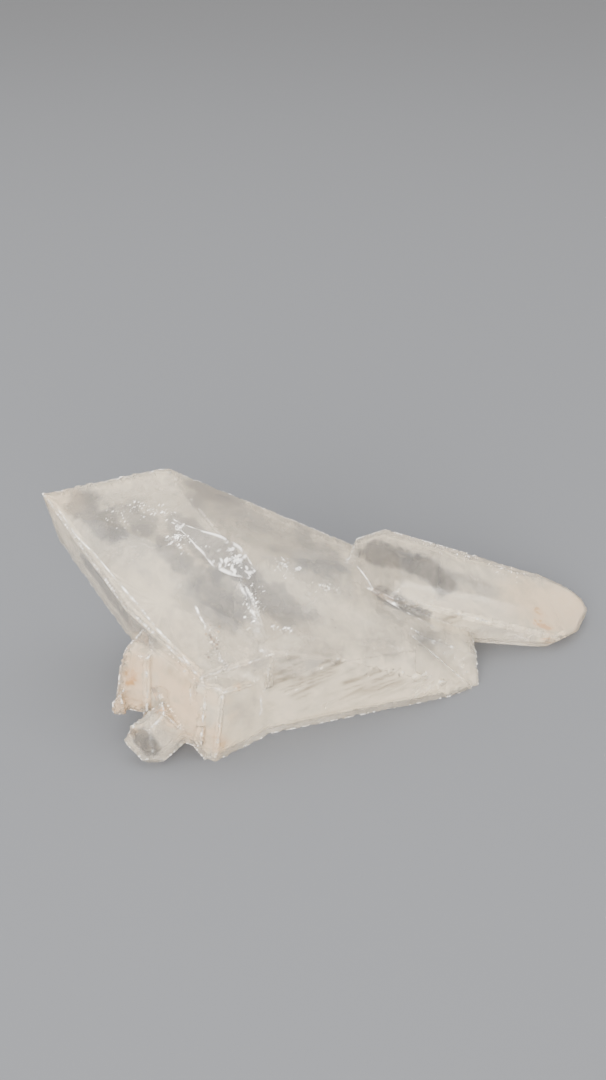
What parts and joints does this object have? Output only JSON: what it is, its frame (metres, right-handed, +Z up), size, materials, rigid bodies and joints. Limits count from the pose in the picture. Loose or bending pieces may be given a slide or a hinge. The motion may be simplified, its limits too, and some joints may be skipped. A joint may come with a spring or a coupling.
{
  "type": "himalayan quartz cluster",
  "caption": "Milky to clear quartz cluster: a large flat-capped point, a second crystal behind it and a clump of small iron-stained crystals.",
  "frame": {"origin": "on the table, under the middle of the cluster's bounding box", "axes": "+X to the right along the cluster, +Y to its back, +Z up"},
  "size_m": [0.1016, 0.049, 0.0379],
  "materials": {
    "quartz": "milky to clear quartz, peach iron stain on the small crystals"
  },
  "bodies": {
    "root": {"quartz_cluster": "quartz"}
  },
  "joints": []
}
